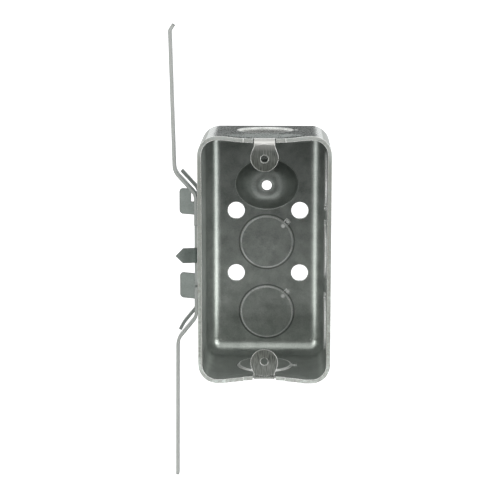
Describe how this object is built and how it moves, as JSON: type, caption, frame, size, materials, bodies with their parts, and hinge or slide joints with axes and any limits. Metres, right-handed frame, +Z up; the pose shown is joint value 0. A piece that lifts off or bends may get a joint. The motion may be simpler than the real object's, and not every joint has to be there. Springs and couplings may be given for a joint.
{
  "type": "utility box",
  "caption": "Drawn steel wiring box with folded device ears, raised ground and round knockouts, carried by a side bracket with long arms, tabs and a barb.",
  "frame": {"origin": "midway between the two device screw holes, in the plane of the mouth", "axes": "+X across the mouth, away from the bracket; +Y from the mouth into the box; +Z up, towards the upper device ear"},
  "size_m": [0.0659, 0.0476, 0.1882],
  "materials": {
    "box_steel": "dull galvanised sheet steel with fine drawing marks",
    "bracket_steel": "dull galvanised sheet steel"
  },
  "bodies": {
    "root": {"box": "box_steel", "bracket": "bracket_steel"}
  },
  "joints": []
}
